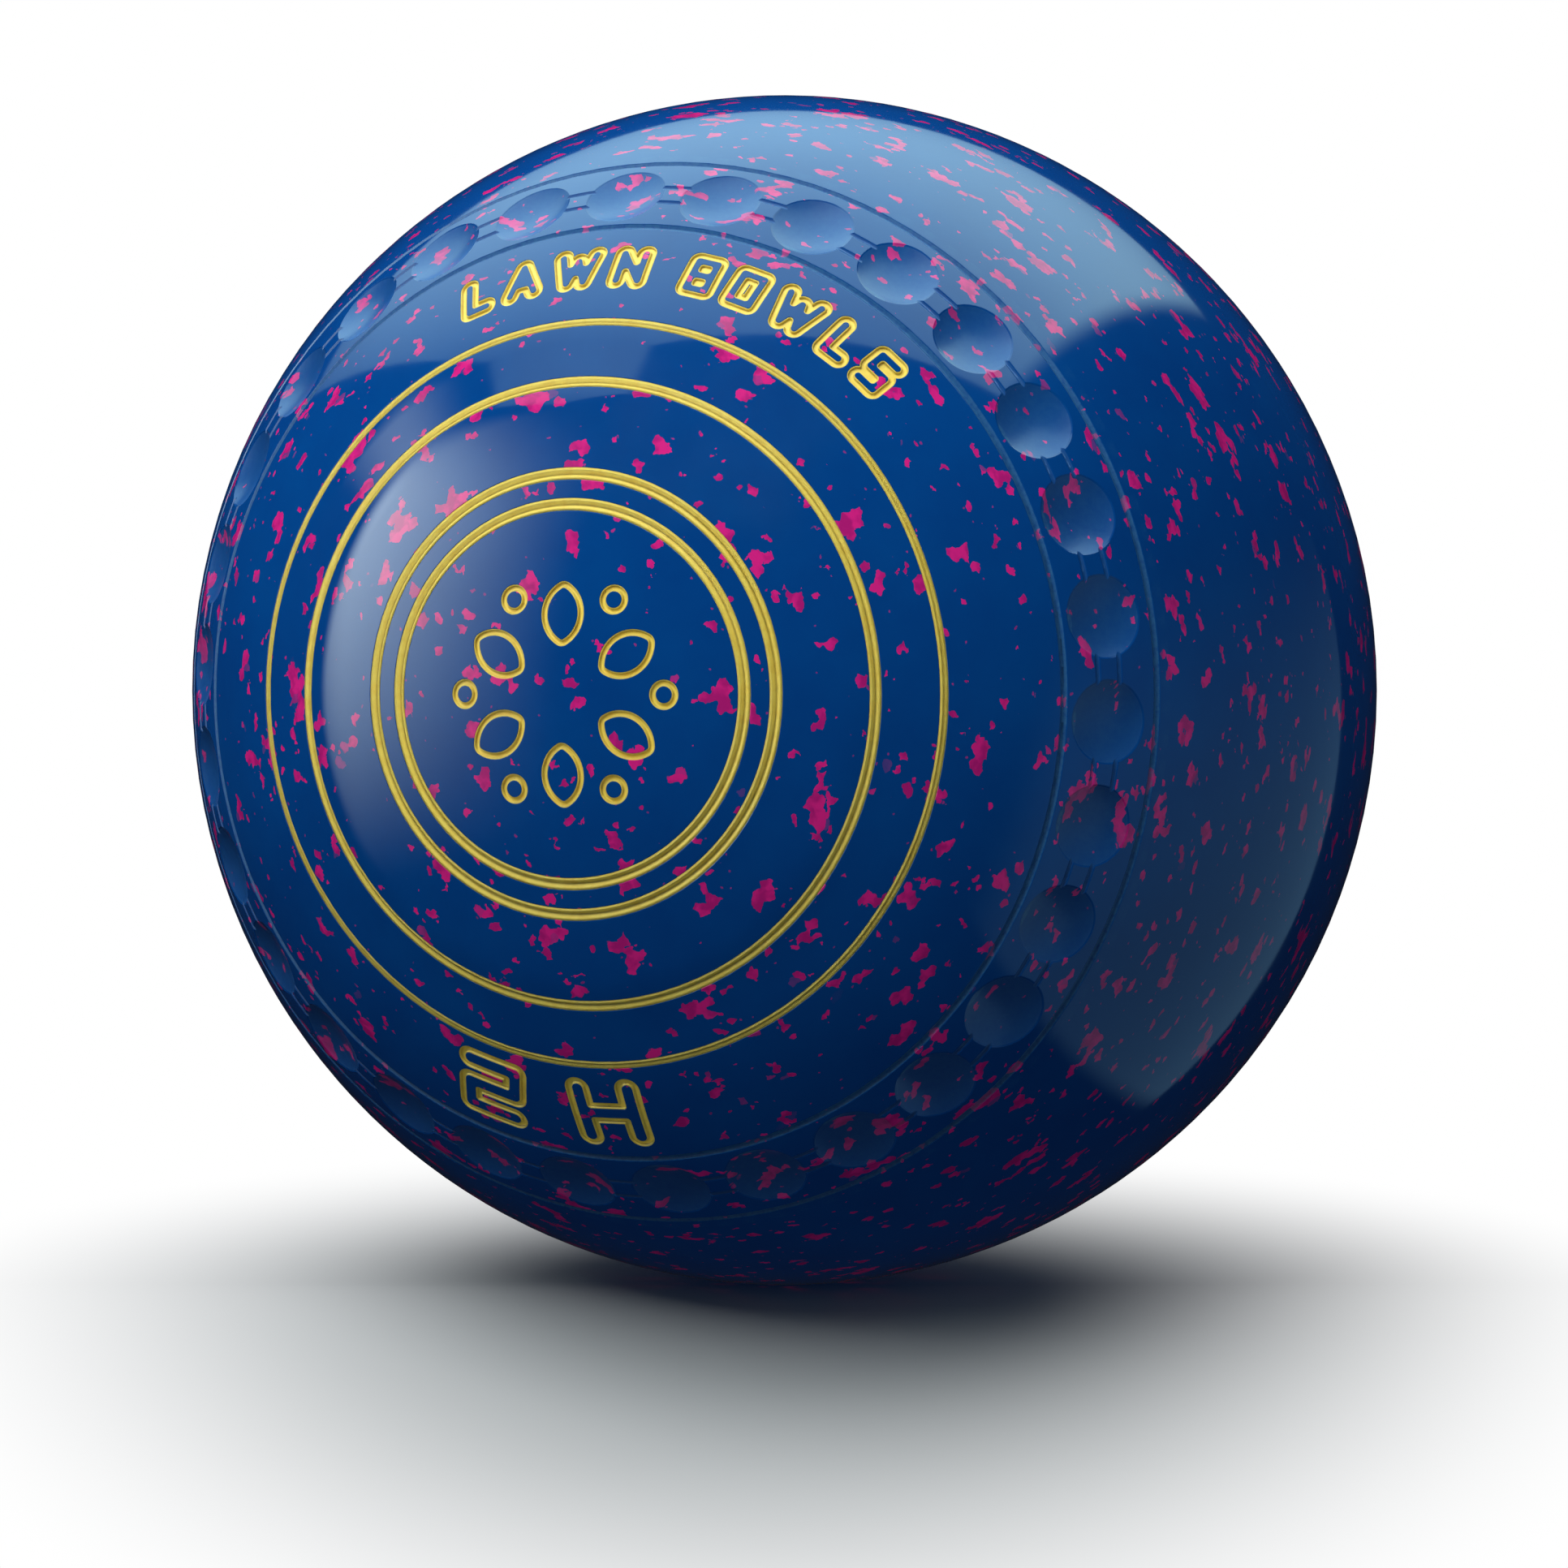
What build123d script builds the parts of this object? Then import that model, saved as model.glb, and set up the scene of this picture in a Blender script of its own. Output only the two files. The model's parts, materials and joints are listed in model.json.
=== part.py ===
from build123d import *
import os
from math import asin, atan2, cos, degrees, radians, sin, sqrt, tan

# A size 2 lawn bowl: a solid phenolic-resin moulding with engraved rings, a rosette, generic lettering
# and a belt of finger grips on each side, and a separate enamel lining in every painted groove.
#
# Frame: the running axis lies along Y with the bias side facing -Y, +Z is up, and the origin is on the
# axis midway between the two sides. Millimetres and degrees throughout. Angles on a side are seen from
# outside it: 0 is to the right, 90 is up.

# ---- The bowl's outline, from the running line in to the axis --------------------------------------
RUNNING_RADIUS = 60.5
BAND_RADIUS = 57.6
SHOULDER_RADIUS = 45.9
ROLL_RADIUS = 20.0
DOME_RADIUS = 76.8
# A stretch ends where the surface normal makes this angle with the axis.
BIAS_BAND_EDGE = 66.0
PLAIN_BAND_EDGE = 72.0
FLANK_SLOPE = 27.3
DOME_EDGE = 21.3

# ---- Turned rings: a rounded V groove, named by the radius of its middle and its width --------------
V_WALL = 42.0
V_ROOT_RADIUS = 0.2
V_LIFT = 0.3
RING_ENAMEL = 0.16
BIAS_RINGS = {
    "inner": (18.61, 1.35),
    "second": (21.63, 1.35),
    "third": (30.68, 1.25),
    "outer": (36.6, 0.92),
}
PLAIN_RINGS = {
    "inner": (27.4, 1.35),
    "second": (30.68, 1.25),
    "outer": (36.6, 0.92),
}

# ---- Grip belt: unpainted grooves round a row of thumb-sized dimples --------------------------------
BELT_EDGE_GROOVES = (46.15, 52.6)
BELT_EDGE_WIDTH = 0.8
TRACK_GROOVES = (48.65, 50.15)
TRACK_WIDTH = 0.6
BARE_ROOT_RADIUS = 0.2
DIMPLE_COUNT = 30
DIMPLE_CIRCLE = 49.42
DIMPLE_DIAMETER = 8.9
DIMPLE_BALL_RADIUS = 10.0
DIMPLE_START_ANGLE = -3.1

# ---- Engraved motifs: outlines cut to an even depth, following the surface ---------------------------
POCKET_DEPTH = 0.42
PRISM_REACH = 1.2
ENAMEL = 0.11
ENAMEL_BELOW_SURFACE = 0.04

# Rosette: petals on one circle, with a small round mark outside each gap.
PETAL_COUNT = 6
ROSETTE_LINE = 0.68
PETAL_CIRCLE = 7.9
PETAL_LENGTH = 5.9
PETAL_WIDTH = 3.9
PETAL_TIP_ROUND = 0.7
DOT_CIRCLE = 10.7
DOT_DIAMETER = 2.3
BIAS_ROSETTE_SCALE = 1.0
PLAIN_ROSETTE_SCALE = 1.75
ROSETTE_START_ANGLE = 90.0

# Marks round an arc: outlined strokes with round ends, read from the rim or, if upright, from the axis.
WORD_SPACE = 3.4
WORD_STYLE = dict(
    mark="word",
    text="LAWN BOWLS",
    circle=42.1,
    middle=79.8,
    height=3.4,
    thickness=1.4,
    line=0.76,
    gap=0.7,
    upright=False,
)
SIZE_STYLE = dict(
    mark="size",
    text="2H",
    circle=41.5,
    middle=260.1,
    height=6.0,
    thickness=1.9,
    line=0.8,
    gap=5.0,
    upright=True,
)

# Strokes of each character on a cell one unit high: lists of corners, and whether the run is closed.
GLYPHS = {
    "A": [([(0, 0), (0.39, 1), (0.78, 0)], False), ([(0.16, 0.34), (0.62, 0.34)], False)],
    "B": [([(0, 0), (0, 1), (0.6, 1), (0.6, 0)], True), ([(0, 0.5), (0.6, 0.5)], False)],
    "H": [([(0, 0), (0, 1)], False), ([(0.9, 0), (0.9, 1)], False), ([(0, 0.5), (0.9, 0.5)], False)],
    "L": [([(0, 1), (0, 0), (0.58, 0)], False)],
    "N": [([(0, 0), (0, 1), (0.68, 0), (0.68, 1)], False)],
    "O": [([(0, 0), (0, 1), (0.66, 1), (0.66, 0)], True)],
    "S": [([(0.6, 1), (0, 1), (0, 0.5), (0.6, 0.5), (0.6, 0), (0, 0)], False)],
    "W": [([(0, 1), (0.27, 0), (0.54, 0.8), (0.81, 0), (1.08, 1)], False)],
    "2": [([(0, 1), (0.85, 1), (0.85, 0.5), (0, 0.5), (0, 0), (0.85, 0)], False)],
}


def sind(angle):
    return sin(radians(angle))


def cosd(angle):
    return cos(radians(angle))


def along_normal(point, distance, angle):
    """The point at a distance along a normal that makes this angle with the axis."""
    return (point[0] + distance * sind(angle), point[1] + distance * cosd(angle))


class Side:
    """One side of the bowl, its outline held as (radius from the axis, height above the running line)."""

    def __init__(self, name, facing, band_edge):
        self.name = name
        self.facing = facing
        band = (RUNNING_RADIUS - BAND_RADIUS, 0.0)
        shoulder = along_normal(band, BAND_RADIUS - SHOULDER_RADIUS, band_edge)
        foot = along_normal(shoulder, SHOULDER_RADIUS, FLANK_SLOPE)
        top_radius = (DOME_RADIUS - ROLL_RADIUS) * sind(DOME_EDGE) + ROLL_RADIUS * sind(FLANK_SLOPE)
        top = (top_radius, foot[1] + (foot[0] - top_radius) * tan(radians(FLANK_SLOPE)))
        roll = along_normal(top, -ROLL_RADIUS, FLANK_SLOPE)
        dome = along_normal(roll, ROLL_RADIUS - DOME_RADIUS, DOME_EDGE)
        self.flank_top, self.flank_foot = top, foot
        self.arcs = [
            (band, BAND_RADIUS, 90.0, band_edge),
            (shoulder, SHOULDER_RADIUS, band_edge, FLANK_SLOPE),
            (roll, ROLL_RADIUS, FLANK_SLOPE, DOME_EDGE),
            (dome, DOME_RADIUS, DOME_EDGE, 0.0),
        ]
        self.half_width = dome[1] + DOME_RADIUS

    def surface(self, radius):
        """Height above the running line and the normal's angle from the axis, at a radius."""
        if self.flank_top[0] <= radius <= self.flank_foot[0]:
            drop = (radius - self.flank_top[0]) * tan(radians(FLANK_SLOPE))
            return self.flank_top[1] - drop, FLANK_SLOPE
        for centre, arc_radius, outer, inner in self.arcs:
            if centre[0] + arc_radius * sind(inner) <= radius <= centre[0] + arc_radius * sind(outer):
                angle = degrees(asin((radius - centre[0]) / arc_radius))
                return centre[1] + arc_radius * cosd(angle), angle
        raise ValueError(f"no surface at radius {radius}")

    def outline(self, inset):
        """Edges from the running line in to the axis, on a surface the inset below the real one."""
        edges = []
        for centre, arc_radius, outer, inner in self.arcs:
            reach = arc_radius - inset
            stops = [along_normal(centre, reach, angle) for angle in (outer, (outer + inner) / 2, inner)]
            if edges and edges[-1][-1] != stops[0]:
                edges.append((edges[-1][-1], stops[0]))
            edges.append(tuple(stops))
        placed = [[(r, running_line_y() + self.facing * h) for r, h in stops] for stops in edges]
        return [ThreePointArc(*p) if len(p) == 3 else Line(*p) for p in placed if p[0] != p[-1]]

    def section_point(self, radius, across, out):
        """A point of a groove's section: across leads away from the axis, out is along the normal."""
        height, angle = self.surface(radius)
        r = radius + across * cosd(angle) + out * sind(angle)
        h = height - across * sind(angle) + out * cosd(angle)
        return (r, running_line_y() + self.facing * h)

    def plane(self, radius, angle, upright=False):
        """The tangent plane at a place on this side, its Y away from the axis, or if upright to it."""
        height, tilt = self.surface(radius)
        radial = Vector(-self.facing * cosd(angle), 0, sind(angle))
        clockwise = Vector(-self.facing * sind(angle), 0, -cosd(angle))
        origin = radial * radius + Vector(0, running_line_y() + self.facing * height, 0)
        normal = radial * sind(tilt) + Vector(0, self.facing * cosd(tilt), 0)
        return Plane(origin=origin, x_dir=-clockwise if upright else clockwise, z_dir=normal)


BIAS = Side("bias", -1, BIAS_BAND_EDGE)
PLAIN = Side("plain", 1, PLAIN_BAND_EDGE)


def running_line_y():
    """The running line's place along the axis, which puts both sides equally far from the origin."""
    return (BIAS.half_width - PLAIN.half_width) / 2


def turned(inset=0.0, grooves=()):
    """The bowl as turned with these grooves cut, or the same shape this much smaller all over."""
    bias, plain = BIAS.outline(inset), PLAIN.outline(inset)
    poles = [(0, running_line_y() + side.facing * (side.half_width - inset)) for side in (BIAS, PLAIN)]
    half = make_face(bias + plain + [Line(*poles)])
    return revolve(half - list(grooves) if grooves else half, Axis.Y)


# ---- Turned grooves ----------------------------------------------------------------------------------
def v_face(side, radius, width, raised=0.0, root_radius=V_ROOT_RADIUS):
    """Section of a V groove with a rounded root, open above the surface, raised from its own place."""
    rise = tan(radians(V_WALL))
    lip = width / 2 + V_LIFT
    corners = [(-lip, V_LIFT * rise), (0, -width / 2 * rise), (lip, V_LIFT * rise)]
    left, root, right = (side.section_point(radius, across, out + raised) for across, out in corners)
    walls = FilletPolyline(left, root, right, radius=root_radius)
    return make_face(walls.edges() + [Line(right, left)])


def ring_enamel(side, radius, width):
    """The lining of a turned groove: an even coat that stops just below the surface."""
    raised = RING_ENAMEL / cosd(V_WALL)
    inner = v_face(side, radius, width, raised, V_ROOT_RADIUS - RING_ENAMEL)
    top = -ENAMEL_BELOW_SURFACE
    corners = [(-width, top), (width, top), (width, -width), (-width, -width)]
    below = make_face(Polyline(*(side.section_point(radius, *c) for c in corners), close=True).edges())
    return revolve((v_face(side, radius, width) - inner) & below, Axis.Y)


# ---- Motif outlines, each a face centred on its own tangent plane ------------------------------------
def stroke(corners, closed, thickness):
    """A round-ended stroke through these corners, as one slot for each run."""
    ends = corners[1:] + corners[:1] if closed else corners[1:]
    slots = []
    for start, end in zip(corners, ends):
        run = Vector(*end) - Vector(*start)
        middle = (Vector(*end) + Vector(*start)) / 2
        turn = degrees(atan2(run.Y, run.X))
        slots.append(Pos(middle.X, middle.Y) * Rot(Z=turn) * SlotCenterToCenter(run.length, thickness))
    return slots


def glyph(character, height, thickness):
    """A character's shape, with its cell's middle at the origin, and the width of its stroke path."""
    width = max(x for corners, _ in GLYPHS[character] for x, _ in corners) * height
    slots = []
    for corners, closed in GLYPHS[character]:
        placed = [(x * height - width / 2, (y - 0.5) * height) for x, y in corners]
        slots += stroke(placed, closed, thickness)
    return Sketch() + slots, width


def petal(scale):
    """A leaf shape with its long axis along Y, from two arcs through the same two tips."""
    half_length, half_width = PETAL_LENGTH * scale / 2, PETAL_WIDTH * scale / 2
    tips = ((0, -half_length), (0, half_length))
    right = ThreePointArc(tips[0], (half_width, 0), tips[1])
    left = ThreePointArc(tips[1], (-half_width, 0), tips[0])
    leaf = make_face([right, left])
    return fillet(leaf.vertices(), PETAL_TIP_ROUND * scale)


def line_round(face, width):
    """The band of this width that runs along the outline of a face."""
    grown = offset(face, width / 2, kind=Kind.ARC)
    shrunk = offset(face, -width / 2, kind=Kind.ARC)
    return grown - shrunk


def engrave(plane, face, line):
    """The cutter for a motif's groove, and the enamel that lines it."""
    outer = extrude(plane * line_round(face, line), PRISM_REACH, both=True)
    inner = extrude(plane * line_round(face, line - 2 * ENAMEL), PRISM_REACH, both=True)
    cutter = outer - FLOOR
    return cutter, (outer & SKIN) - (inner - CHANNEL_FLOOR)


FLOOR = turned(POCKET_DEPTH)
CHANNEL_FLOOR = turned(POCKET_DEPTH - ENAMEL)
SKIN = turned(ENAMEL_BELOW_SURFACE) - FLOOR


def rosette(side, scale):
    """Petals and dots round the side's middle, as (node name, cutter, enamel)."""
    pitch = 360 / PETAL_COUNT
    for k in range(PETAL_COUNT):
        angle = ROSETTE_START_ANGLE - k * pitch
        plane = side.plane(PETAL_CIRCLE * scale, angle)
        yield f"{side.name}_petal_{k + 1}_enamel", *engrave(plane, petal(scale), ROSETTE_LINE)
        plane = side.plane(DOT_CIRCLE * scale, angle - pitch / 2)
        dot = Circle(DOT_DIAMETER * scale / 2)
        yield f"{side.name}_dot_{k + 1}_enamel", *engrave(plane, dot, ROSETTE_LINE)


def lettering(side, mark, text, circle, middle, height, thickness, line, gap, upright):
    """Characters round an arc, as (node name, cutter, enamel)."""
    edge = thickness + line
    shapes = [None if c == " " else glyph(c, height, thickness) for c in text]
    widths = [WORD_SPACE - 2 * gap if shape is None else shape[1] + edge for shape in shapes]
    at = -(sum(widths) + gap * (len(text) - 1)) / 2
    for k, (character, shape, width) in enumerate(zip(text, shapes, widths), 1):
        turn = degrees((at + width / 2) / circle)
        at += width + gap
        if shape is not None:
            plane = side.plane(circle, middle + (turn if upright else -turn), upright)
            name = f"{side.name}_{mark}_{k}_{character.lower()}_enamel"
            yield name, *engrave(plane, shape[0], line)


def dimples(side):
    """The balls that scoop the finger grips out of a side, each with its seam away from the cut."""
    height = sqrt(DIMPLE_BALL_RADIUS**2 - (DIMPLE_DIAMETER / 2) ** 2)
    for k in range(DIMPLE_COUNT):
        flat = side.plane(DIMPLE_CIRCLE, DIMPLE_START_ANGLE - k * 360 / DIMPLE_COUNT)
        centre = flat.origin + flat.z_dir * height
        yield Plane(centre, flat.z_dir, flat.y_dir) * Sphere(DIMPLE_BALL_RADIUS)


def bare_grooves(side):
    """Sections of the unpainted grooves along and beside the row of dimples."""
    edges = [v_face(side, r, BELT_EDGE_WIDTH, root_radius=BARE_ROOT_RADIUS) for r in BELT_EDGE_GROOVES]
    return edges + [v_face(side, r, TRACK_WIDTH, root_radius=BARE_ROOT_RADIUS) for r in TRACK_GROOVES]


def build():
    """Every piece of the bowl by node name."""
    pieces, sections, cuts = {}, [], []
    sides = ((BIAS, BIAS_RINGS, BIAS_ROSETTE_SCALE), (PLAIN, PLAIN_RINGS, PLAIN_ROSETTE_SCALE))
    for side, rings, scale in sides:
        sections += bare_grooves(side)
        for name, (radius, width) in rings.items():
            sections.append(v_face(side, radius, width))
            pieces[f"{side.name}_{name}_ring_enamel"] = ring_enamel(side, radius, width)
        cuts.append(list(dimples(side)))
        rows = [rosette(side, scale), lettering(side, **WORD_STYLE)]
        if side is BIAS:
            rows.append(lettering(side, **SIZE_STYLE))
        for row in rows:
            motifs = list(row)
            cuts.append([cutter for _, cutter, _ in motifs])
            pieces |= {name: enamel for name, _, enamel in motifs}
    body = turned(grooves=sections)
    for cut in cuts:
        body -= cut
    pieces["bowl_body"] = body
    return pieces


os.makedirs("parts", exist_ok=True)
for node, shape in build().items():
    export_step(Compound(shape.solids()), f"parts/{node}.step")
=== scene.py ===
import bpy
import json
import numpy as np
from math import asin, cos, degrees, pi, radians, sin, sqrt, tan
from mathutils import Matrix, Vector


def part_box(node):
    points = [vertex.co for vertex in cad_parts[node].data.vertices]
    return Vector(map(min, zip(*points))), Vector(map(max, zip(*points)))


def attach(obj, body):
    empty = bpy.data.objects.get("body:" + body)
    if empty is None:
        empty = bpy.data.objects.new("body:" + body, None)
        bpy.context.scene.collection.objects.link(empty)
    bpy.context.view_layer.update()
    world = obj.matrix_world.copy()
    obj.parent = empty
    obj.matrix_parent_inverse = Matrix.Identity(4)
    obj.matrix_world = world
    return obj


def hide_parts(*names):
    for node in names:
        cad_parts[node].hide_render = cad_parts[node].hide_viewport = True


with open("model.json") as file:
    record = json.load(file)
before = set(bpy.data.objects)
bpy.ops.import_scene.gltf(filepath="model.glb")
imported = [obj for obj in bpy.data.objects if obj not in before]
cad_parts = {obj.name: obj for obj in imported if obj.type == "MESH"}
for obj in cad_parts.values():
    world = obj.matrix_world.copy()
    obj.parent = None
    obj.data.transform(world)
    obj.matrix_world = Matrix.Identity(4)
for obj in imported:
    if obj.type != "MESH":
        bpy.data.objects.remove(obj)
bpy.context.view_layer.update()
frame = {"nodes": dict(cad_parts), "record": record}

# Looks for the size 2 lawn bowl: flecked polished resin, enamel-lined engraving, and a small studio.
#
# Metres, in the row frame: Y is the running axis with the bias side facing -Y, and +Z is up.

scene = bpy.context.scene
MM = 0.001

# ---- Sizes that the looks share with the CAD, in millimetres ----------------------------------------
body_low, body_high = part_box("bowl_body")
RUNNING_RADIUS = body_high.z / MM
BAND_RADIUS = 57.6
SHOULDER_RADIUS = 45.9
ROLL_RADIUS = 20.0
DOME_RADIUS = 76.8
BAND_EDGES = {"bias": 66.0, "plain": 72.0}
FLANK_SLOPE = 27.3
DOME_EDGE = 21.3
SIDES = {"bias": -1, "plain": 1}
RUNNING_LINE_Y = frame["record"]["mounts"][0]["pos_m"][1] / MM
BELT = (45.5, 53.4)
BELT_EDGE_GROOVES = (46.15, 52.6)
BELT_EDGE_WIDTH = 0.8
DIMPLE_COUNT = 30
DIMPLE_CIRCLE = 49.42
DIMPLE_DIAMETER = 8.9
DIMPLE_BALL_RADIUS = 10.0
DIMPLE_START_ANGLE = -3.1


def along_normal(point, distance, angle):
    """The point at a distance along a normal that makes this angle with the axis."""
    return (point[0] + distance * sin(radians(angle)), point[1] + distance * cos(radians(angle)))


def outline(side):
    """A side's arcs as (centre, radius, outer angle, inner angle), and its flank's top and foot."""
    band = (RUNNING_RADIUS - BAND_RADIUS, 0.0)
    edge = BAND_EDGES[side]
    shoulder = along_normal(band, BAND_RADIUS - SHOULDER_RADIUS, edge)
    foot = along_normal(shoulder, SHOULDER_RADIUS, FLANK_SLOPE)
    roll_out = ROLL_RADIUS * sin(radians(FLANK_SLOPE))
    top_radius = (DOME_RADIUS - ROLL_RADIUS) * sin(radians(DOME_EDGE)) + roll_out
    top = (top_radius, foot[1] + (foot[0] - top_radius) * tan(radians(FLANK_SLOPE)))
    roll = along_normal(top, -ROLL_RADIUS, FLANK_SLOPE)
    dome = along_normal(roll, ROLL_RADIUS - DOME_RADIUS, DOME_EDGE)
    arcs = [
        (band, BAND_RADIUS, 90.0, edge),
        (shoulder, SHOULDER_RADIUS, edge, FLANK_SLOPE),
        (roll, ROLL_RADIUS, FLANK_SLOPE, DOME_EDGE),
        (dome, DOME_RADIUS, DOME_EDGE, 0.0),
    ]
    return arcs, top, foot


# ---- Node helpers -------------------------------------------------------------------------------------
class Nodes:
    """Builds a material's nodes. Every input may be a number, a colour, a vector or a socket."""

    def __init__(self, name):
        self.material = bpy.data.materials.new(name)
        self.material.use_nodes = True
        self.tree = self.material.node_tree
        self.shader = self.tree.nodes["Principled BSDF"]

    def put(self, socket, value):
        if isinstance(value, bpy.types.NodeSocket):
            self.tree.links.new(value, socket)
        elif value is not None:
            socket.default_value = value

    def add(self, kind, inputs=None, **settings):
        node = self.tree.nodes.new(kind)
        for key, value in settings.items():
            setattr(node, key, value)
        for key, value in (inputs or {}).items():
            self.put(node.inputs[key], value)
        return node

    def math(self, operation, a, b=None):
        return self.add("ShaderNodeMath", {0: a, 1: b}, operation=operation).outputs[0]

    def vector(self, operation, a, b):
        return self.add("ShaderNodeVectorMath", {0: a, 1: b}, operation=operation).outputs["Vector"]

    def step(self, value, low, high, to_low=0.0, to_high=1.0):
        """A smooth step from one value to another as the input goes from low to high."""
        inputs = {"Value": value, "From Min": low, "From Max": high, "To Min": to_low, "To Max": to_high}
        return self.add("ShaderNodeMapRange", inputs, interpolation_type="SMOOTHSTEP").outputs["Result"]

    def mix(self, factor, a, b):
        node = self.add("ShaderNodeMix", data_type="RGBA")
        for index, value in ((0, factor), (6, a), (7, b)):
            self.put(node.inputs[index], value)
        return node.outputs[2]

    def noise(self, place, scale, detail=2.0, roughness=0.5, output="Fac"):
        inputs = {"Vector": place, "Scale": scale, "Detail": detail, "Roughness": roughness}
        return self.add("ShaderNodeTexNoise", inputs).outputs[output]

    def cells(self, place, output):
        return self.add("ShaderNodeTexVoronoi", {"Vector": place, "Scale": 1.0}).outputs[output]

    def bump(self, height, distance, strength, normal):
        inputs = {"Height": height, "Distance": distance, "Strength": strength, "Normal": normal}
        return self.add("ShaderNodeBump", inputs).outputs["Normal"]


def millimetres(n):
    place = n.add("ShaderNodeTexCoord").outputs["Object"]
    node = n.add("ShaderNodeVectorMath", {0: place}, operation="SCALE")
    node.inputs["Scale"].default_value = 1 / MM
    return node.outputs["Vector"]


# ---- Resin --------------------------------------------------------------------------------------------
# The flecks are flakes pressed flat across the running axis, so the running surface shows their edges.
FLAKE_FLATTENING = (1.0, 1.9, 1.0)
# Each layer of flecks: grain of the outline and spacing of the patches, in mm, and the noise level
# above which there is a patch.
FLECK_LAYERS = ((1.0, 6.0, 0.652), (0.6, 3.0, 0.712), (0.32, 1.6, 0.772))
LAYER_SHIFT = (17.0, 31.0, 5.0)
PATCH_SPREAD = 1.6
# The flakes' outlines wander by up to half of the first, in mm, with the second's waves to a millimetre.
STIR = 0.9
STIR_SCALE = 1.1
SPECK_SPACING = 1.1
SPECK_RADIUS = 0.16
# The share of places that hold no speck, and how strongly a speck is coloured.
SPECK_RARITY = 0.85
SPECK_STRENGTH = 0.55
BLUE_DEEP = (0.0006, 0.042, 0.22, 1)
BLUE_LIGHT = (0.001, 0.072, 0.30, 1)
MAGENTA = (0.72, 0.018, 0.25, 1)
MAGENTA_DEEP = (0.46, 0.012, 0.19, 1)
CHALKY_BLUE = (0.035, 0.16, 0.34, 1)
RESIN_IOR = 1.54
# Polished resin's roughness runs between these two, and the grips and grooves add more to it.
POLISH = (0.055, 0.085)
MATTE = 0.22
RESIN_ROUNDING = 0.09
GRAIN_DEPTH = 0.01
# How fine each layer of noise is, in repeats to a millimetre.
CLOUDS, SMEARS, BLOOM, SCUFFS, GRAIN = 0.09, 0.16, 0.55, 1.7, 2.4
GROOVE_PATCHES = 2.2


def depth_in_belt(n, place):
    """How far a point of the grip belt lies below the turned shoulder, or 0 elsewhere, and its radius."""
    x, y, z = n.add("ShaderNodeSeparateXYZ", {0: place}).outputs
    radius = n.math("SQRT", n.math("ADD", n.math("MULTIPLY", x, x), n.math("MULTIPLY", z, z)))
    from_running_line = n.math("SUBTRACT", y, RUNNING_LINE_Y)
    on_plain = n.math("GREATER_THAN", from_running_line, 0.0)
    depths = {}
    for side in SIDES:
        centre = outline(side)[0][1][0]
        out = n.math("SUBTRACT", radius, centre[0])
        up = n.math("SUBTRACT", n.math("ABSOLUTE", from_running_line), centre[1])
        away = n.math("SQRT", n.math("ADD", n.math("MULTIPLY", out, out), n.math("MULTIPLY", up, up)))
        depths[side] = n.math("SUBTRACT", SHOULDER_RADIUS, away)
    plain = n.math("MULTIPLY", on_plain, depths["plain"])
    bias = n.math("MULTIPLY", n.math("SUBTRACT", 1.0, on_plain), depths["bias"])
    past_inner, before_outer = n.math("GREATER_THAN", radius, BELT[0]), n.math("LESS_THAN", radius, BELT[1])
    inside = n.math("MULTIPLY", past_inner, before_outer)
    return n.math("MULTIPLY", n.math("ADD", plain, bias), inside), radius


def flecks(n, place):
    """The share of fleck at a point, and the point's place within the flattened flakes."""
    flat = n.vector("MULTIPLY", place, FLAKE_FLATTENING)
    stir = n.vector("SUBTRACT", n.noise(flat, STIR_SCALE, 2.0, output="Color"), (0.5, 0.5, 0.5))
    flat = n.vector("ADD", flat, n.vector("MULTIPLY", stir, (STIR, STIR, STIR)))
    total = None
    for k, (grain, spacing, level) in enumerate(FLECK_LAYERS):
        shifted = n.vector("ADD", flat, tuple(k * v for v in LAYER_SHIFT))
        corner = n.cells(n.vector("MULTIPLY", shifted, (1 / grain,) * 3), "Position")
        patch = n.noise(corner, grain / spacing * PATCH_SPREAD, 1.0)
        mask = n.step(patch, level, level + 0.004)
        total = mask if total is None else n.math("MAXIMUM", total, mask)
    spaced = n.vector("MULTIPLY", flat, (1 / SPECK_SPACING,) * 3)
    drawn = n.add("ShaderNodeSeparateColor", {0: n.cells(spaced, "Color")}).outputs[0]
    chance = n.math("GREATER_THAN", drawn, SPECK_RARITY)
    near = n.step(n.cells(spaced, "Distance"), SPECK_RADIUS, SPECK_RADIUS * 0.6)
    specks = n.math("MULTIPLY", n.math("MULTIPLY", near, chance), SPECK_STRENGTH)
    return n.math("MAXIMUM", total, specks), flat


def groove_lightening(n, place, depth, radius, groove):
    """The share of lighter chalky blue, in noisy patches, at a point of a belt-edge groove."""
    from_middle = n.math("ABSOLUTE", n.math("SUBTRACT", radius, groove))
    inside = n.math("LESS_THAN", from_middle, BELT_EDGE_WIDTH)
    chalky = n.math("MULTIPLY", inside, n.step(depth, 0.01, 0.06, 0.0, 0.55))
    return n.math("MULTIPLY", chalky, n.step(n.noise(place, GROOVE_PATCHES, 4.0, 0.7), 0.3, 0.6))


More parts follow.
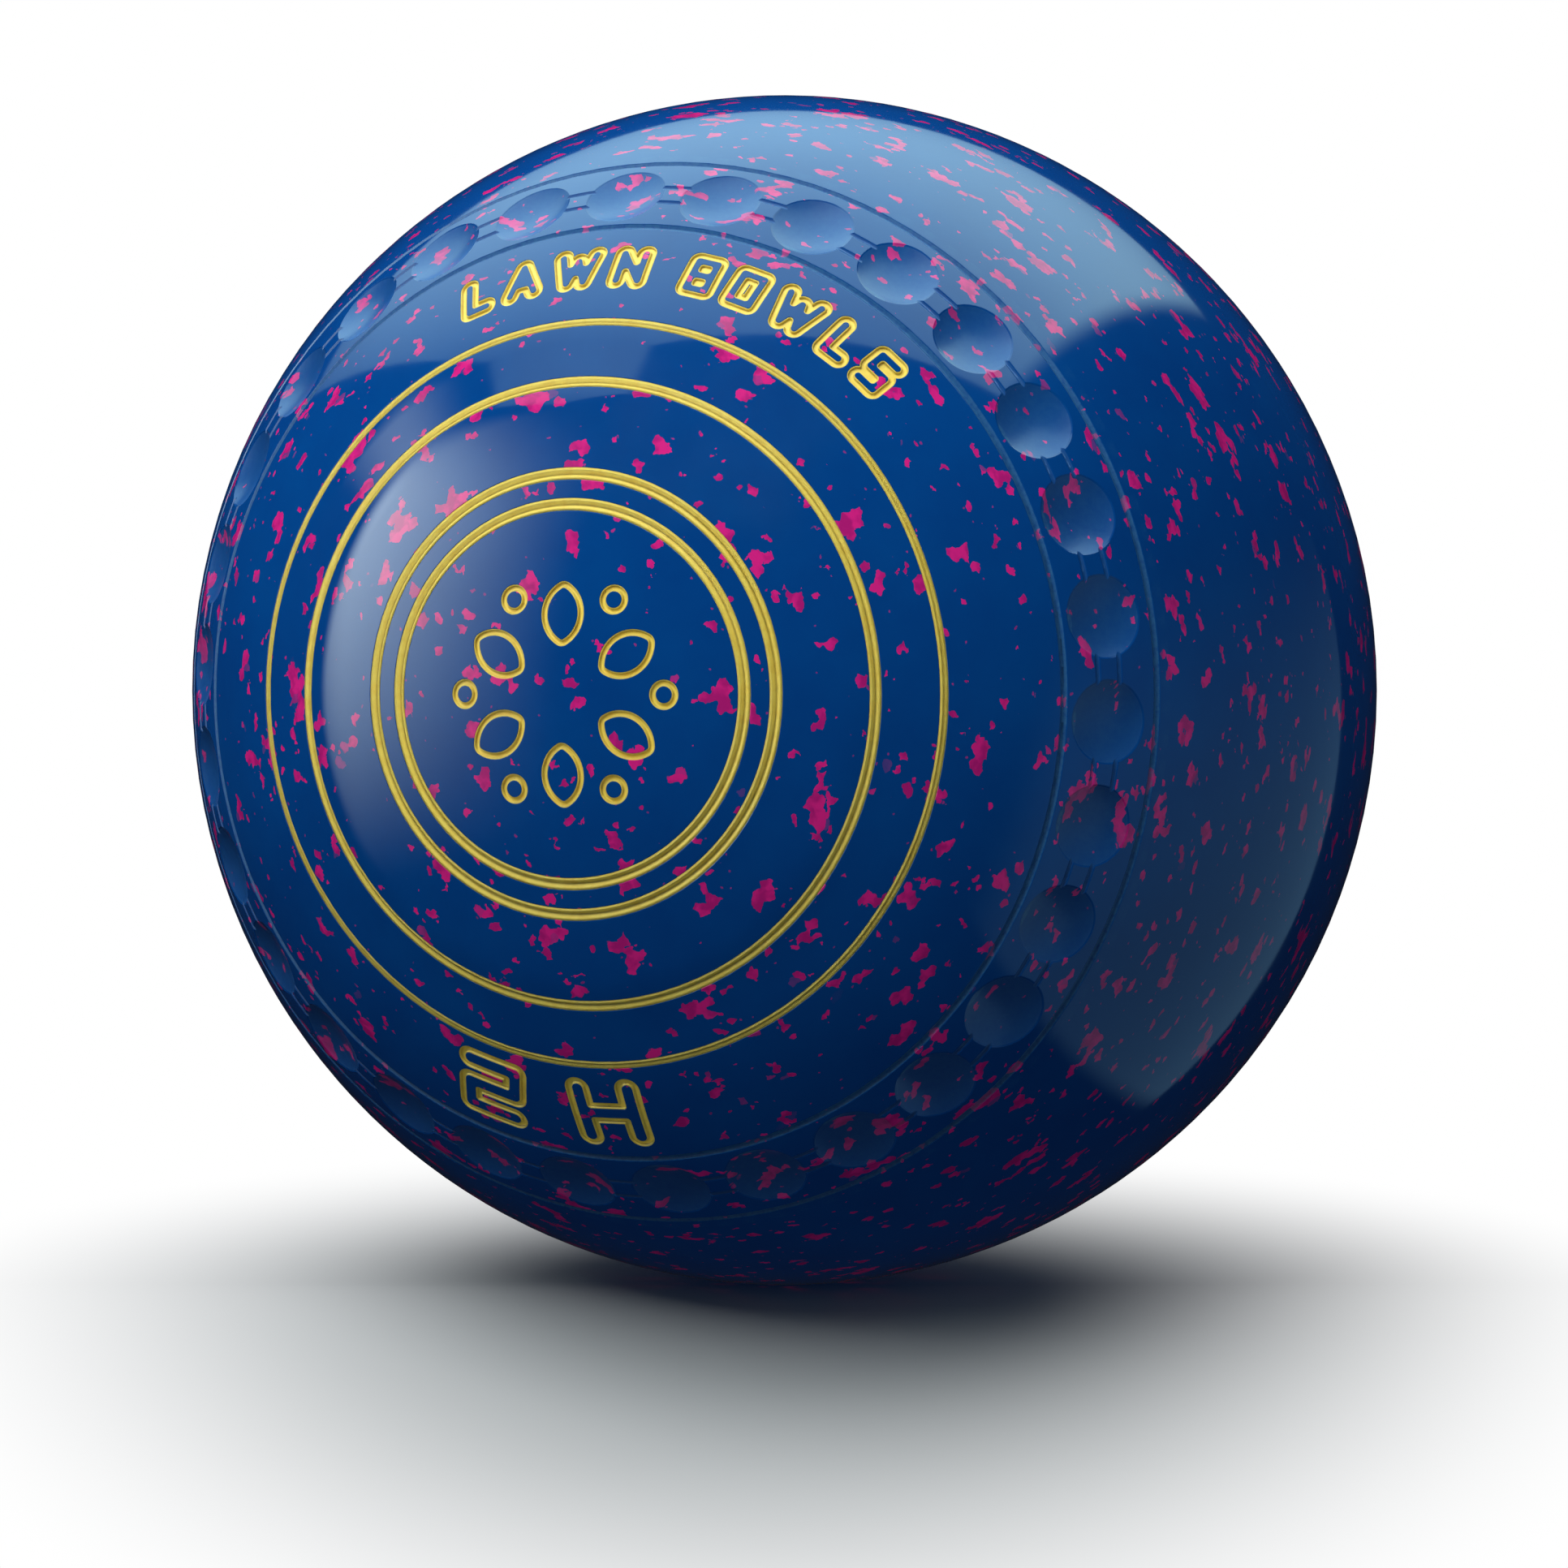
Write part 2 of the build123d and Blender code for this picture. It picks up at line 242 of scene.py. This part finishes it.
def resin():
    n = Nodes("polished_flecked_resin")
    place = millimetres(n)
    fleck, flat = flecks(n, place)
    depth, radius = depth_in_belt(n, place)
    blue = n.mix(n.noise(place, CLOUDS, 4.0, 0.6), BLUE_DEEP, BLUE_LIGHT)
    pink = n.mix(n.step(n.noise(flat, BLOOM, 2.0), 0.38, 0.62), MAGENTA_DEEP, MAGENTA)
    scooped = n.step(depth, 0.02, 0.09)
    hazy = n.math("MULTIPLY", scooped, n.step(n.noise(place, SCUFFS, 5.0, 0.7), 0.25, 0.75, 0.05, 0.22))
    colour = n.mix(hazy, n.mix(fleck, blue, pink), CHALKY_BLUE)
    # The belt-edge grooves are painted a lighter chalky blue in patches.
    for groove in BELT_EDGE_GROOVES:
        colour = n.mix(groove_lightening(n, place, depth, radius, groove), colour, CHALKY_BLUE)
    n.put(n.shader.inputs["Base Color"], colour)
    polish = n.step(n.noise(place, SMEARS, 3.0, 0.55), 0.3, 0.7, *POLISH)
    n.put(n.shader.inputs["Roughness"], n.math("ADD", polish, n.math("MULTIPLY", scooped, MATTE)))
    n.shader.inputs["IOR"].default_value = RESIN_IOR
    height = n.math("MULTIPLY", n.noise(place, GRAIN, 5.0, 0.7), n.math("ADD", 0.10, scooped))
    rounded = n.add("ShaderNodeBevel", {"Radius": RESIN_ROUNDING * MM}, samples=6).outputs["Normal"]
    n.put(n.shader.inputs["Normal"], n.bump(height, GRAIN_DEPTH * MM, 0.5, rounded))
    return n.material


# ---- Enamel -------------------------------------------------------------------------------------------
YELLOW = (1.0, 0.80, 0.13, 1)
OCHRE = (0.93, 0.68, 0.08, 1)
THIN = (0.58, 0.64, 0.18, 1)
BRUSH_DEPTH = 0.02
# How fine each layer of noise is, in repeats to a millimetre.
MOTTLE, SHEEN, WEAR, BRUSHING = 0.9, 1.8, 2.6, 3.2
# The noise level above which the coat is worn thin, and the radius its edges are rounded to, in mm.
RING_COAT = (0.74, 0.6)
MOTIF_COAT = (0.68, 0.3)


def enamel(name, wear, rounding):
    """Brushed-on enamel: a little darker where it is thick, greenish where it is thin over the resin."""
    n = Nodes(name)
    place = millimetres(n)
    mottled = n.mix(n.step(n.noise(place, MOTTLE, 4.0, 0.6), 0.35, 0.75), YELLOW, OCHRE)
    worn = n.step(n.noise(place, WEAR, 3.0, 0.65), wear, wear + 0.06)
    n.put(n.shader.inputs["Base Color"], n.mix(worn, mottled, THIN))
    n.put(n.shader.inputs["Roughness"], n.step(n.noise(place, SHEEN, 2.0), 0.3, 0.7, 0.3, 0.45))
    rounded = n.add("ShaderNodeBevel", {"Radius": rounding * MM}, samples=6).outputs["Normal"]
    n.put(n.shader.inputs["Normal"], n.bump(n.noise(place, BRUSHING, 3.0), BRUSH_DEPTH * MM, 0.6, rounded))
    return n.material


def dress(node, material):
    """Gives a piece its material."""
    node.data.materials.clear()
    node.data.materials.append(material)


materials = {"ring": enamel("ring_enamel", *RING_COAT), "motif": enamel("motif_enamel", *MOTIF_COAT)}
for name, node in frame["nodes"].items():
    if name != "bowl_body":
        dress(node, materials["ring" if "ring" in name else "motif"])


# ---- Polished skin: the body's own shape, shaded by the exact normals of its turned outline and grips ---
# A face is shaded so where all its corners lie this near the surface, in mm, and it faces the same way,
# within this angle.
SKIN_SLACK = 0.02
FACE_SLACK = 8.0
ARC_END_SLACK = 0.05
NEAR_AXIS = 1e-6


def polar(points):
    """Distance from the axis, height above the running line, and which side, for points in mm."""
    radius = np.hypot(points[:, 0], points[:, 2])
    height = points[:, 1] - RUNNING_LINE_Y
    return radius, np.abs(height), np.where(height < 0, -1, 1)


def turned_normals(points):
    """The turned outline's normal at each point, and how far the point is from that outline."""
    radius, height, facing = polar(points)
    best = np.full(len(points), np.inf)
    section = np.zeros((len(points), 2))
    for side, way in SIDES.items():
        arcs, top, foot = outline(side)
        for centre, reach, outer, inner in arcs:
            along = np.stack([radius - centre[0], height - centre[1]], 1)
            away = np.linalg.norm(along, axis=1)
            tilt = np.degrees(np.arctan2(along[:, 0], along[:, 1]))
            off = np.abs(away - reach)
            near = (facing == way) & (tilt > inner - ARC_END_SLACK) & (tilt < outer + ARC_END_SLACK)
            near &= off < best
            best[near] = off[near]
            section[near] = along[near] / away[near, None]
        slope = np.array([sin(radians(FLANK_SLOPE)), cos(radians(FLANK_SLOPE))])
        off = np.abs((radius - foot[0]) * slope[0] + (height - foot[1]) * slope[1])
        near = (facing == way) & (radius > top[0]) & (radius < foot[0]) & (off < best)
        best[near] = off[near]
        section[near] = slope
    outward = points[:, [0, 2]] / np.maximum(radius, NEAR_AXIS)[:, None]
    sideways_part = outward * section[:, :1]
    return np.stack([sideways_part[:, 0], facing * section[:, 1], sideways_part[:, 1]], 1), best


def grip_normals(points):
    """The normal of the nearest finger grip's bowl at each point, and how far the point is from it."""
    radius, height, facing = polar(points)
    pitch = 360 / DIMPLE_COUNT
    turn = np.degrees(np.arctan2(points[:, 2], -facing * points[:, 0]))
    nearest = np.radians(DIMPLE_START_ANGLE + pitch * np.round((turn - DIMPLE_START_ANGLE) / pitch))
    lift = sqrt(DIMPLE_BALL_RADIUS**2 - (DIMPLE_DIAMETER / 2) ** 2)
    centres = np.zeros_like(points)
    for side, way in SIDES.items():
        centre, reach = outline(side)[0][1][:2]
        tilt = degrees(asin((DIMPLE_CIRCLE - centre[0]) / reach))
        out, up = along_normal(centre, reach + lift, tilt)
        here = facing == way
        centres[here, 0] = -way * out * np.cos(nearest[here])
        centres[here, 1] = RUNNING_LINE_Y + way * up
        centres[here, 2] = out * np.sin(nearest[here])
    inward = centres - points
    away = np.linalg.norm(inward, axis=1)
    return inward / away[:, None], np.abs(away - DIMPLE_BALL_RADIUS)


def polished_skin():
    """A copy of the body that shades each turned or scooped face by its true surface."""
    node = frame["nodes"]["bowl_body"]
    mesh = node.data.copy()
    mesh.name = "polished_skin"
    skin = bpy.data.objects.new("polished_skin", mesh)
    scene.collection.objects.link(skin)
    corners = len(mesh.loops)
    points = np.empty(len(mesh.vertices) * 3)
    mesh.vertices.foreach_get("co", points)
    points = points.reshape(-1, 3) / MM
    vertex_of = np.empty(corners, int)
    mesh.loops.foreach_get("vertex_index", vertex_of)
    normals = np.empty(corners * 3)
    mesh.corner_normals.foreach_get("vector", normals)
    normals = normals.reshape(-1, 3)
    flat = np.empty(len(mesh.polygons) * 3)
    mesh.polygons.foreach_get("normal", flat)
    face_of = np.repeat(np.arange(len(mesh.polygons)), 3)
    facets = flat.reshape(-1, 3)[face_of]
    for surface in (turned_normals, grip_normals):
        true, off = surface(points)
        agrees = np.einsum("ij,ij->i", true[vertex_of], facets) > cos(radians(FACE_SLACK))
        fits = (off[vertex_of] < SKIN_SLACK) & agrees
        whole = np.minimum.reduceat(fits, np.arange(0, corners, 3))[face_of]
        normals[whole] = true[vertex_of][whole]
    mesh.normals_split_custom_set(normals)
    dress(skin, resin())
    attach(skin, "root")
    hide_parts("bowl_body")


polished_skin()

# ---- Camera: level with the bowl, a little to the right of its bias side ------------------------------
CAMERA_AZIMUTH = 23.75
CAMERA_PITCH = 0.918
CAMERA_DISTANCE = 20 * RUNNING_RADIUS * MM
AIM_BELOW_CENTRE = 0.1577 * RUNNING_RADIUS * MM
LENS = 272.8
SENSOR = 36

heading = Vector((-sin(radians(CAMERA_AZIMUTH)), cos(radians(CAMERA_AZIMUTH)), 0))
sideways = Vector((heading.y, -heading.x, 0))
UP = Vector((0, 0, 1))
bowl_centre = Vector((0, RUNNING_LINE_Y * MM, 0))
looking = heading * cos(radians(CAMERA_PITCH)) - UP * sin(radians(CAMERA_PITCH))
camera = bpy.data.objects.new("camera", bpy.data.cameras.new("camera"))
camera.data.lens = LENS
camera.data.sensor_width = SENSOR
camera.location = bowl_centre - UP * AIM_BELOW_CENTRE - looking * CAMERA_DISTANCE
camera.rotation_euler = looking.to_track_quat("-Z", "Y").to_euler()
scene.collection.objects.link(camera)
scene.camera = camera

# ---- Stage: a sheet of paper that slopes down towards the camera and rises gently behind the bowl ------
SHEET_REACH = 0.13
SHEET_STEPS = 72
SHEET_SLOPES = {"ahead": 0.5, "behind": 0.12}
SHEET_ROLL = 0.012
# Painted light and shadow: the paper glows plain white between these distances from the bowl's foot, in mm,
# though it is no lamp, and nearer the foot it stays dark grey, a painted shadow added to the lamps' own.
SHEET_PAINTED_GLOW = (24.0, 96.0)
# Dark grey paper with random clouds: a painted shadow around the bowl's foot.
PAINTED_SHADOW_DARK = (0.37, 0.40, 0.42, 1)
PAINTED_SHADOW_LIGHT = (0.40, 0.43, 0.45, 1)
PAPER_CLOUDS = 0.02
PAPER_ROUGHNESS = 0.9
BLACK = (0, 0, 0, 1)
WHITE = (1, 1, 1, 1)


def sheet_point(toward, side):
    """A point of the sheet at a distance towards the camera and to its right from the bowl's foot."""
    slope = SHEET_SLOPES["ahead"] if toward > 0 else -SHEET_SLOPES["behind"]
    drop = slope * (sqrt(toward * toward + SHEET_ROLL * SHEET_ROLL) - SHEET_ROLL)
    return -heading * toward + sideways * side + UP * (body_low.z - drop)


def stage_sheet():
    stops = [SHEET_REACH * (2 * k / SHEET_STEPS - 1) for k in range(SHEET_STEPS + 1)]
    vertices = [sheet_point(toward, side) for toward in stops for side in stops]
    row = SHEET_STEPS + 1
    corners = [k * row + m for k in range(SHEET_STEPS) for m in range(SHEET_STEPS)]
    mesh = bpy.data.meshes.new("stage_sheet")
    mesh.from_pydata(vertices, [], [(c, c + 1, c + row + 1, c + row) for c in corners])
    mesh.shade_smooth()
    sheet = bpy.data.objects.new("stage_sheet", mesh)
    scene.collection.objects.link(sheet)
    n = Nodes("pale_paper")
    place = millimetres(n)
    from_foot = n.vector("SUBTRACT", place, (0, 0, body_low.z / MM))
    away = n.add("ShaderNodeVectorMath", {0: from_foot}, operation="LENGTH").outputs["Value"]
    # Painted glow and shadow: the paper is made to glow white away from the foot and left dark grey near
    # it.
    painted_glow = n.step(away, *SHEET_PAINTED_GLOW)
    paper = n.mix(n.noise(place, PAPER_CLOUDS, 2.0), PAINTED_SHADOW_DARK, PAINTED_SHADOW_LIGHT)
    n.put(n.shader.inputs["Base Color"], n.mix(painted_glow, paper, BLACK))
    n.shader.inputs["Roughness"].default_value = PAPER_ROUGHNESS
    n.shader.inputs["Specular IOR Level"].default_value = 0.0
    n.shader.inputs["Emission Color"].default_value = WHITE
    n.put(n.shader.inputs["Emission Strength"], painted_glow)
    sheet.data.materials.append(n.material)
    sheet.visible_glossy = False
    sheet.visible_diffuse = False


stage_sheet()


# ---- Light: softboxes placed by their bearing from the camera side and their height --------------------
SOFTBOX_DISTANCE = 1.0


def fade(tree, across, low, high):
    """A smooth rise over part of a panel, from its own 0 to 1 measure across."""
    node = tree.nodes.new("ShaderNodeMapRange")
    node.interpolation_type = "SMOOTHSTEP"
    node.inputs["From Min"].default_value = low
    node.inputs["From Max"].default_value = high
    tree.links.new(across, node.inputs["Value"])
    return node.outputs["Result"]


def grade(light, fades):
    """Dims parts of a panel. Each fade is (axis, dark end, bright end): 0 runs across it and 1 up it."""
    light.use_nodes = True
    tree = light.node_tree
    spread = tree.nodes.new("ShaderNodeSeparateXYZ")
    geometry = tree.nodes.new("ShaderNodeNewGeometry")
    tree.links.new(geometry.outputs["Parametric"], spread.inputs[0])
    strength = None
    for axis, low, high in fades:
        part = fade(tree, spread.outputs[axis], low, high)
        if strength is not None:
            product = tree.nodes.new("ShaderNodeMath")
            product.operation = "MULTIPLY"
            tree.links.new(strength, product.inputs[0])
            tree.links.new(part, product.inputs[1])
            part = product.outputs[0]
        strength = part
    tree.links.new(strength, tree.nodes["Emission"].inputs["Strength"])


def softbox(name, bearing, elevation, size, radiance, colour, shift=0.0):
    """A panel that faces the bowl. Bearing 0 is behind the camera and 90 is to its right."""
    light = bpy.data.lights.new(name, "AREA")
    light.shape = "RECTANGLE"
    light.size, light.size_y = size
    light.energy = radiance * pi * size[0] * size[1]
    light.color = colour
    lamp = bpy.data.objects.new(name, light)
    level = -heading * cos(radians(bearing)) + sideways * sin(radians(bearing))
    out = level * cos(radians(elevation)) + UP * sin(radians(elevation))
    lamp.location = out * SOFTBOX_DISTANCE + sideways * shift
    lamp.rotation_euler = (-out).to_track_quat("-Z", "Y").to_euler()
    lamp.visible_camera = False
    scene.collection.objects.link(lamp)
    return lamp


def reflected(lamp, fades):
    """Makes a panel one that shows only in the polish."""
    grade(lamp.data, fades)
    lamp.visible_diffuse = False
    lamp.data.use_shadow = False


def lighting(lamp):
    """Makes a panel one that lights colours and casts shadows, and doesn't show in the polish."""
    lamp.visible_glossy = False


# Each fade is (axis, dark end, bright end).
TOP_FADES = ((1, -0.3, 0.5), (1, 1.6, 0.4), (0, 0.0, 0.05), (0, 1.35, 0.55))
LEFT_FADES = ((0, 1.0, 0.0), (0, -0.03, 0.2), (1, 0.0, 0.75), (1, 1.0, 0.7))
RIGHT_FADES = ((0, 0.0, 0.25), (1, 0.0, 0.06), (1, 1.0, 0.45))
OVERHEAD = {"bearing": 180, "elevation": 75, "size": (2.1, 1.9), "shift": -0.2}
reflected(softbox("top_softbox", **OVERHEAD, radiance=3.1, colour=(0.56, 0.93, 1.0)), TOP_FADES)
reflected(softbox("left_softbox", -71, 8, (0.92, 1.2), 7.2, (0.81, 0.97, 0.97)), LEFT_FADES)
reflected(softbox("right_softbox", 84, -16, (2.5, 1.6), 0.36, (0.33, 0.70, 1.0)), RIGHT_FADES)
lighting(softbox("overhead_softbox", **OVERHEAD, radiance=2.0, colour=(0.95, 0.98, 1.0)))
lighting(softbox("key_softbox", -38, 50, (0.9, 0.9), 4.4, (1.0, 0.99, 0.95)))


# ---- Surroundings: white to the camera, a dim fill to the resin's colour, and dark to its polish -------
FILL = 0.16
FILL_COLOUR = (0.75, 0.9, 1.0, 1)
POLISH_FILL = 0.006
CAMERA_WHITE = 1.0


def surroundings():
    world = bpy.data.worlds.new("studio")
    world.use_nodes = True
    scene.world = world
    tree = world.node_tree
    fill = tree.nodes["Background"]
    fill.inputs["Color"].default_value = FILL_COLOUR
    fill.inputs["Strength"].default_value = FILL
    path = tree.nodes.new("ShaderNodeLightPath")
    shader = fill.outputs[0]
    for ray, strength in (("Is Glossy Ray", POLISH_FILL), ("Is Camera Ray", CAMERA_WHITE)):
        other = tree.nodes.new("ShaderNodeBackground")
        other.inputs["Color"].default_value = WHITE
        other.inputs["Strength"].default_value = strength
        blend = tree.nodes.new("ShaderNodeMixShader")
        tree.links.new(path.outputs[ray], blend.inputs[0])
        tree.links.new(shader, blend.inputs[1])
        tree.links.new(other.outputs[0], blend.inputs[2])
        shader = blend.outputs[0]
    tree.links.new(shader, tree.nodes["World Output"].inputs["Surface"])


surroundings()
scene.view_settings.view_transform = "Standard"
